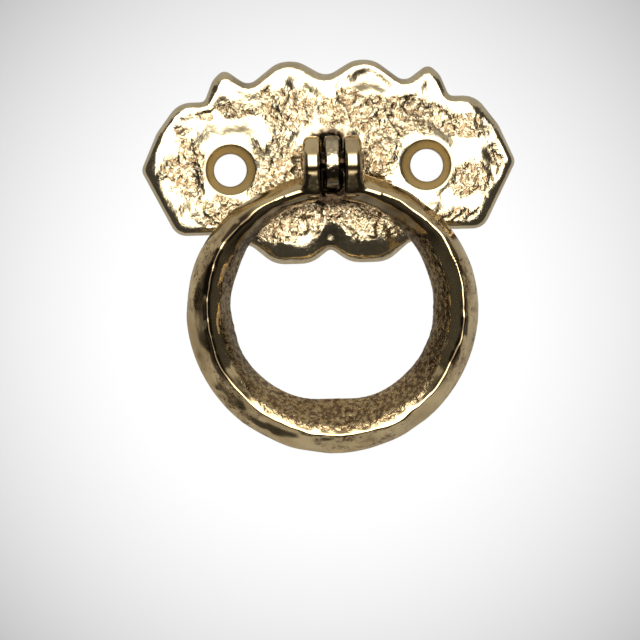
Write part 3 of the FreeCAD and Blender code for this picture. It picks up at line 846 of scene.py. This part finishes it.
def file_marks():
    """Node group: straight file strokes on the flat backs, as a tone and a normal."""
    slant, stretch = (0.0, 0.35, 0.0), (110.0, 110.0, 7000.0)
    bump_strength, bump_depth = 0.5, 0.08 * MM
    stroke_from, stroke_to, lightest, darkest = 0.35, 0.65, 0.5, 0.72
    group, given, result = new_group(
        "File marks",
        {"Filed": "Float", "Normal": "Vector"},
        {"Tone": "Float", "Normal": "Vector"},
    )
    values = {"Vector": own_place(group), "Rotation": slant, "Scale": stretch}
    along = add_node(group, "ShaderNodeMapping", values).outputs[0]
    stroke = noise_value(group, along, *STROKE)
    strength = multiply(group, given["Filed"], bump_strength)
    values = {"Strength": strength, "Distance": bump_depth, "Height": stroke}
    values["Normal"] = given["Normal"]
    bump = add_node(group, "ShaderNodeBump", values)
    group.links.new(bump.outputs["Normal"], result.inputs["Normal"])
    tone = ramp(group, stroke, stroke_from, stroke_to, lightest, darkest)
    group.links.new(multiply(group, given["Filed"], tone), result.inputs["Tone"])
    return group


def use_group(tree, name, make, values):
    """Node of a shared group, which is made when first asked for."""
    group = bpy.data.node_groups.get(name) or make()
    return add_node(tree, "ShaderNodeGroup", values, node_tree=group).outputs


def new_material(name, metallic):
    """Material with a Principled BSDF, and that node."""
    material = bpy.data.materials.new(name)
    material.use_nodes = True
    shader = material.node_tree.nodes["Principled BSDF"]
    shader.inputs["Metallic"].default_value = metallic
    return material, shader


def marked_brass(name, settings, even_cast=None):
    """Brass with the shared marks; cast is an attribute unless one even value is given."""
    material, shader = new_material(name, 1.0)
    tree = material.node_tree
    cast = attribute(tree, "cast") if even_cast is None else even_cast
    values = {"Cast": cast}
    values.update(Bright=settings.bright, Dull=settings.dull, Deep=settings.deep)
    return material, shader, use_group(tree, "Brass marks", brass_marks, values)


def link_finish(tree, shader, tone, rough, normal):
    tree.links.new(tone, shader.inputs["Base Color"])
    tree.links.new(rough, shader.inputs["Roughness"])
    tree.links.new(normal, shader.inputs["Normal"])


def add_backs(tree, shader, tone, rough, normal):
    """Files the flat back and paints shade onto the hinge and hollows, on top of the given finish.
    """
    filed_rough = 0.38
    shared = bpy.context.scene.ringpull_brass
    filed = attribute(tree, "filed")
    strokes = use_group(tree, "File marks", file_marks, {"Filed": filed, "Normal": normal})
    tone = mix_colour(tree, strokes["Tone"], tone, shared.filed)
    # painted shade mixed in from the attribute
    tone = mix_colour(tree, attribute(tree, "painted_shade"), tone, shared.painted_shade)
    rough = mix_value(tree, filed, rough, filed_rough)
    link_finish(tree, shader, tone, rough, strokes["Normal"])


def plate_brass(settings):
    """Cast brass with turned countersinks."""
    turned_rough = 0.33
    material, shader, marks = marked_brass("Plate brass", settings)
    tree = material.node_tree
    turned = attribute(tree, "machined")
    tone = mix_colour(tree, turned, marks["Colour"], settings.turned)
    rough = mix_value(tree, turned, marks["Roughness"], turned_rough)
    add_backs(tree, shader, tone, rough, marks["Normal"])
    return material


def ring_brass(settings):
    """Cast brass with brown blots on the outer bevel."""
    blot_edge, speck_edge, field_edge = (0.47, 0.57), (0.5, 0.58), (0.4, 0.54)
    speck_share, even_share = 0.6, 0.4
    material, shader, marks = marked_brass("Ring brass", settings)
    tree = material.node_tree
    place = own_place(tree)
    blot = ramp(tree, noise_value(tree, place, *BLOT), *blot_edge)
    speck = ramp(tree, noise_value(tree, place, *BLOT_SPECK), *speck_edge)
    speck = calculate(tree, "MULTIPLY_ADD", speck, speck_share, even_share)
    field = ramp(tree, noise_value(tree, place, *BLOT_FIELD), *field_edge)
    blot = multiply(tree, blot, speck, field, attribute(tree, "bevel"))
    tone = mix_colour(tree, blot, marks["Colour"], settings.blot)
    add_backs(tree, shader, tone, marks["Roughness"], marks["Normal"])
    return material


def pin_brass(settings):
    """Drawn brass, with painted shade on the round and rubbed on the peened ends."""
    even_cast = 0.15
    material, shader, marks = marked_brass("Pin brass", settings, even_cast)
    tree = material.node_tree
    painted_shade = bpy.context.scene.ringpull_brass.painted_shade
    tone = mix_colour(tree, attribute(tree, "painted_shade"), marks["Colour"], painted_shade)
    link_finish(tree, shader, tone, marks["Roughness"], marks["Normal"])
    return material


class RINGPULL_OT_backplate(bpy.types.Operator):
    """Backplate with rounded cast edges, a worn pitted face and turned countersinks."""

    bl_idname = "ringpull.backplate"
    bl_label = "Backplate"

    def execute(self, context):
        settings = context.scene.ringpull_plate
        piece = cast_piece("backplate", "cast_backplate", settings, shape_plate)
        dress(piece, plate_brass(settings), "backplate", "plate")
        return {"FINISHED"}


class RINGPULL_OT_ring(bpy.types.Operator):
    """Ring and ears with a worn ridge, a dented outer bevel and a rough inner one."""

    bl_idname = "ringpull.ring"
    bl_label = "Ring"

    def execute(self, context):
        settings = context.scene.ringpull_ring
        piece = cast_piece("ring", "cast_ring", settings, shape_ring)
        dress(piece, ring_brass(settings), "ring", "swing")
        return {"FINISHED"}


def pin_outline(settings, reach, radius):
    """Half section of the pin, from one end's middle to the other's: along and out."""
    crown = settings.crown
    profile = []
    for step in range(settings.steps + 1):
        turn = math.pi / 2 * step / settings.steps
        profile.append((reach - crown + crown * math.cos(turn), radius * math.sin(turn)))
    return profile + [(-along, out) for along, out in reversed(profile)]


class RINGPULL_OT_hinge_pin(bpy.types.Operator):
    """Hinge pin with both ends peened to shallow domes."""

    bl_idname = "ringpull.hinge_pin"
    bl_label = "Hinge pin"

    def execute(self, context):
        rubbed, shaded = 0.8, 1.0
        settings = context.scene.ringpull_pin
        low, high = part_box("hinge_pin")
        middle = (low + high) / 2 + Vector((HINGE_SHIFT * MM, 0.0, 0.0))
        reach, radius = (high.x - low.x) / 2, (high.z - low.z) / 2
        work = bmesh.new()
        verts = [
            work.verts.new((middle.x + along, middle.y, middle.z + out))
            for along, out in pin_outline(settings, reach, radius)
        ]
        edges = [work.edges.new(pair) for pair in zip(verts, verts[1:])]
        bmesh.ops.spin(
            work, geom=verts + edges, cent=middle, axis=(1, 0, 0), dvec=(0, 0, 0),
            angle=2 * math.pi, steps=settings.sides, use_merge=True, use_duplicate=False,
        )
        bmesh.ops.remove_doubles(work, verts=work.verts, dist=MERGE)
        bmesh.ops.recalc_face_normals(work, faces=work.faces)
        outs = [
            math.hypot(vert.co.y - middle.y, vert.co.z - middle.z) / radius for vert in work.verts
        ]
        # painted shade on the pin's round, rubbed bright towards the middles of the peened ends
        store(work, "painted_shade", [soft_step(rubbed, shaded, out) for out in outs])
        mesh = bpy.data.meshes.new("peened_pin")
        work.to_mesh(mesh)
        work.free()
        piece = bpy.data.objects.new("peened_pin", mesh)
        context.scene.collection.objects.link(piece)
        dress(piece, pin_brass(settings), "hinge_pin", "swing")
        return {"FINISHED"}


def add_camera(context, settings):
    data = bpy.data.cameras.new("Camera")
    data.lens = settings.lens
    data.clip_start, data.clip_end = 0.01, 10.0
    camera = bpy.data.objects.new("Camera", data)
    camera.location = Vector(settings.aim) + Vector((0.0, -settings.distance, 0.0))
    camera.rotation_euler = Euler((math.pi / 2, settings.roll, 0.0))
    context.scene.collection.objects.link(camera)
    context.scene.camera = camera


def add_panel_light(context, settings):
    """Soft panel behind the camera, reaching further up than down."""
    away, width, low, high = 1.4, 0.92, -0.4, 0.62
    data = bpy.data.lights.new("Front panel", "AREA")
    data.shape = "RECTANGLE"
    data.size, data.size_y = width, high - low
    data.energy = settings.panel * math.pi * width * (high - low)
    lamp = bpy.data.objects.new("Front panel", data)
    lamp.location = (0.0, -away, (low + high) / 2)
    lamp.rotation_euler = (math.pi / 2, 0.0, 0.0)
    context.scene.collection.objects.link(lamp)


def surround_material(settings):
    """Grey glow all round, dark below and beside the panel, bright close about it."""
    front, below, flank_x, flank_z = (0.22, 0.02), (-0.22, -0.34), (0.28, 0.4), (0.6, 0.4)
    halo_x, halo_top, halo_foot, halo_y = (0.44, 0.3), (0.66, 0.4), (-0.42, -0.27), (0.0, -0.2)
    material = bpy.data.materials.new("Surround")
    material.use_nodes = True
    material.cycles.emission_sampling = "NONE"
    tree = material.node_tree
    tree.nodes.clear()
    values = {0: own_place(tree)}
    unit = add_node(tree, "ShaderNodeVectorMath", values, operation="NORMALIZE").outputs[0]
    axes = add_node(tree, "ShaderNodeSeparateXYZ", {0: unit}).outputs
    ahead = ramp(tree, axes["Y"], *front)
    aside = calculate(tree, "ABSOLUTE", axes["X"])
    under = multiply(tree, ramp(tree, axes["Z"], *below), ahead)
    flank = multiply(tree, ramp(tree, aside, *flank_x), ahead, ramp(tree, axes["Z"], *flank_z))
    dark = calculate(tree, "MAXIMUM", under, flank)
    grey = ramp(tree, dark, 0.0, 1.0, settings.surround, settings.shade)
    halo = multiply(
        tree,
        ramp(tree, aside, *halo_x),
        ramp(tree, axes["Z"], *halo_top),
        ramp(tree, axes["Z"], *halo_foot),
        ramp(tree, axes["Y"], *halo_y, 0.0, settings.halo),
    )
    strength = calculate(tree, "MAXIMUM", grey, halo)
    glow = add_node(tree, "ShaderNodeEmission", {"Strength": strength})
    output = tree.nodes.new("ShaderNodeOutputMaterial")
    tree.links.new(glow.outputs[0], output.inputs["Surface"])
    return material


def add_surround(context, settings):
    """Dome that only reflections see, open straight behind the handle."""
    radius, opening = 2.0, 1.93
    work = bmesh.new()
    bmesh.ops.create_uvsphere(work, u_segments=48, v_segments=24, radius=radius)
    behind = [face for face in work.faces if face.calc_center_median().y > opening]
    bmesh.ops.delete(work, geom=behind, context="FACES")
    mesh = bpy.data.meshes.new("Surround")
    work.to_mesh(mesh)
    work.free()
    mesh.materials.append(surround_material(settings))
    dome = bpy.data.objects.new("Surround", mesh)
    dome.visible_camera = False
    dome.visible_diffuse = False
    dome.visible_shadow = False
    dome.visible_transmission = False
    context.scene.collection.objects.link(dome)


def add_floor(context):
    """Pale disc below the handle."""
    radius, drop, rough, pale = 0.11, 0.085, 0.8, (0.85, 0.85, 0.84, 1.0)
    work = bmesh.new()
    bmesh.ops.create_circle(work, cap_ends=True, segments=96, radius=radius)
    mesh = bpy.data.meshes.new("Floor")
    work.to_mesh(mesh)
    work.free()
    material, shader = new_material("Floor", 0.0)
    shader.inputs["Base Color"].default_value = pale
    shader.inputs["Roughness"].default_value = rough
    mesh.materials.append(material)
    floor = bpy.data.objects.new("Floor", mesh)
    floor.location = (0.0, 0.0, -drop)
    floor.visible_glossy = False
    context.scene.collection.objects.link(floor)


def add_world(context, settings):
    """White backdrop with painted shade towards the picture's corners, and soft all-round light.
    """
    # The picture's corners look 8 degrees off the +Y axis, where Y is 0.99.
    outermost, middle = 0.96, 1.0
    far, corner, clear = 0.4, 0.735, 0.95
    far_grey, corner_grey = (0.94, 0.94, 0.94, 1.0), (0.5, 0.5, 0.5, 1.0)
    world = bpy.data.worlds.new("Backdrop")
    world.use_nodes = True
    context.scene.world = world
    tree = world.node_tree
    back = tree.nodes["Background"]
    path = tree.nodes.new("ShaderNodeLightPath").outputs
    seen = calculate(tree, "MAXIMUM", path["Is Camera Ray"], path["Is Glossy Ray"])
    seen = calculate(tree, "MAXIMUM", seen, path["Is Transmission Ray"])
    strength = ramp(tree, seen, 0.0, 1.0, settings.ambient, 1.0)
    tree.links.new(strength, back.inputs["Strength"])
    place = tree.nodes.new("ShaderNodeTexCoord").outputs["Generated"]
    axes = add_node(tree, "ShaderNodeSeparateXYZ", {0: place}).outputs
    values = {"Value": axes["Y"], "From Min": outermost, "From Max": middle}
    spread = add_node(tree, "ShaderNodeMapRange", values).outputs[0]
    shade = add_node(tree, "ShaderNodeValToRGB", {"Fac": spread})
    stops = shade.color_ramp.elements
    stops[0].position, stops[0].color = far, far_grey
    stops[1].position, stops[1].color = clear, WHITE
    stops.new(corner).color = corner_grey
    tone = mix_colour(tree, path["Is Camera Ray"], WHITE, shade.outputs["Color"])
    tree.links.new(tone, back.inputs["Color"])


class RINGPULL_OT_studio(bpy.types.Operator):
    """Camera, panel light, surround, floor and white backdrop."""

    bl_idname = "ringpull.studio"
    bl_label = "Studio"

    def execute(self, context):
        settings = context.scene.ringpull_studio
        add_camera(context, settings)
        add_panel_light(context, settings)
        add_surround(context, settings)
        add_floor(context)
        add_world(context, settings)
        context.scene.view_settings.view_transform = "Standard"
        return {"FINISHED"}


class RINGPULL_PT_panel(bpy.types.Panel):
    """Builds the handle piece by piece."""

    bl_idname = "RINGPULL_PT_panel"
    bl_label = "Ring Pull Handle"
    bl_space_type = "VIEW_3D"
    bl_region_type = "UI"
    bl_category = "Ring Pull"

    def draw(self, context):
        for key in BrassSettings.__annotations__:
            self.layout.prop(context.scene.ringpull_brass, key)
        for name, operator in STEPS:
            self.layout.operator(operator.bl_idname)
            settings = getattr(context.scene, name)
            for key in settings.__annotations__:
                self.layout.prop(settings, key)


STEPS = (
    ("ringpull_plate", RINGPULL_OT_backplate),
    ("ringpull_ring", RINGPULL_OT_ring),
    ("ringpull_pin", RINGPULL_OT_hinge_pin),
    ("ringpull_studio", RINGPULL_OT_studio),
)
GROUPS = (
    ("ringpull_brass", BrassSettings),
    ("ringpull_plate", PlateSettings),
    ("ringpull_ring", RingSettings),
    ("ringpull_pin", PinSettings),
    ("ringpull_studio", StudioSettings),
)


def register():
    for name, group in GROUPS:
        bpy.utils.register_class(group)
        setattr(bpy.types.Scene, name, PointerProperty(type=group))
    for _, operator in STEPS:
        bpy.utils.register_class(operator)
    bpy.utils.register_class(RINGPULL_PT_panel)


def unregister():
    bpy.utils.unregister_class(RINGPULL_PT_panel)
    for _, operator in reversed(STEPS):
        bpy.utils.unregister_class(operator)
    for name, group in reversed(GROUPS):
        delattr(bpy.types.Scene, name)
        bpy.utils.unregister_class(group)


def main():
    register()
    bpy.ops.ringpull.backplate()
    bpy.ops.ringpull.ring()
    bpy.ops.ringpull.hinge_pin()
    bpy.ops.ringpull.studio()


if __name__ == "__main__":
    main()
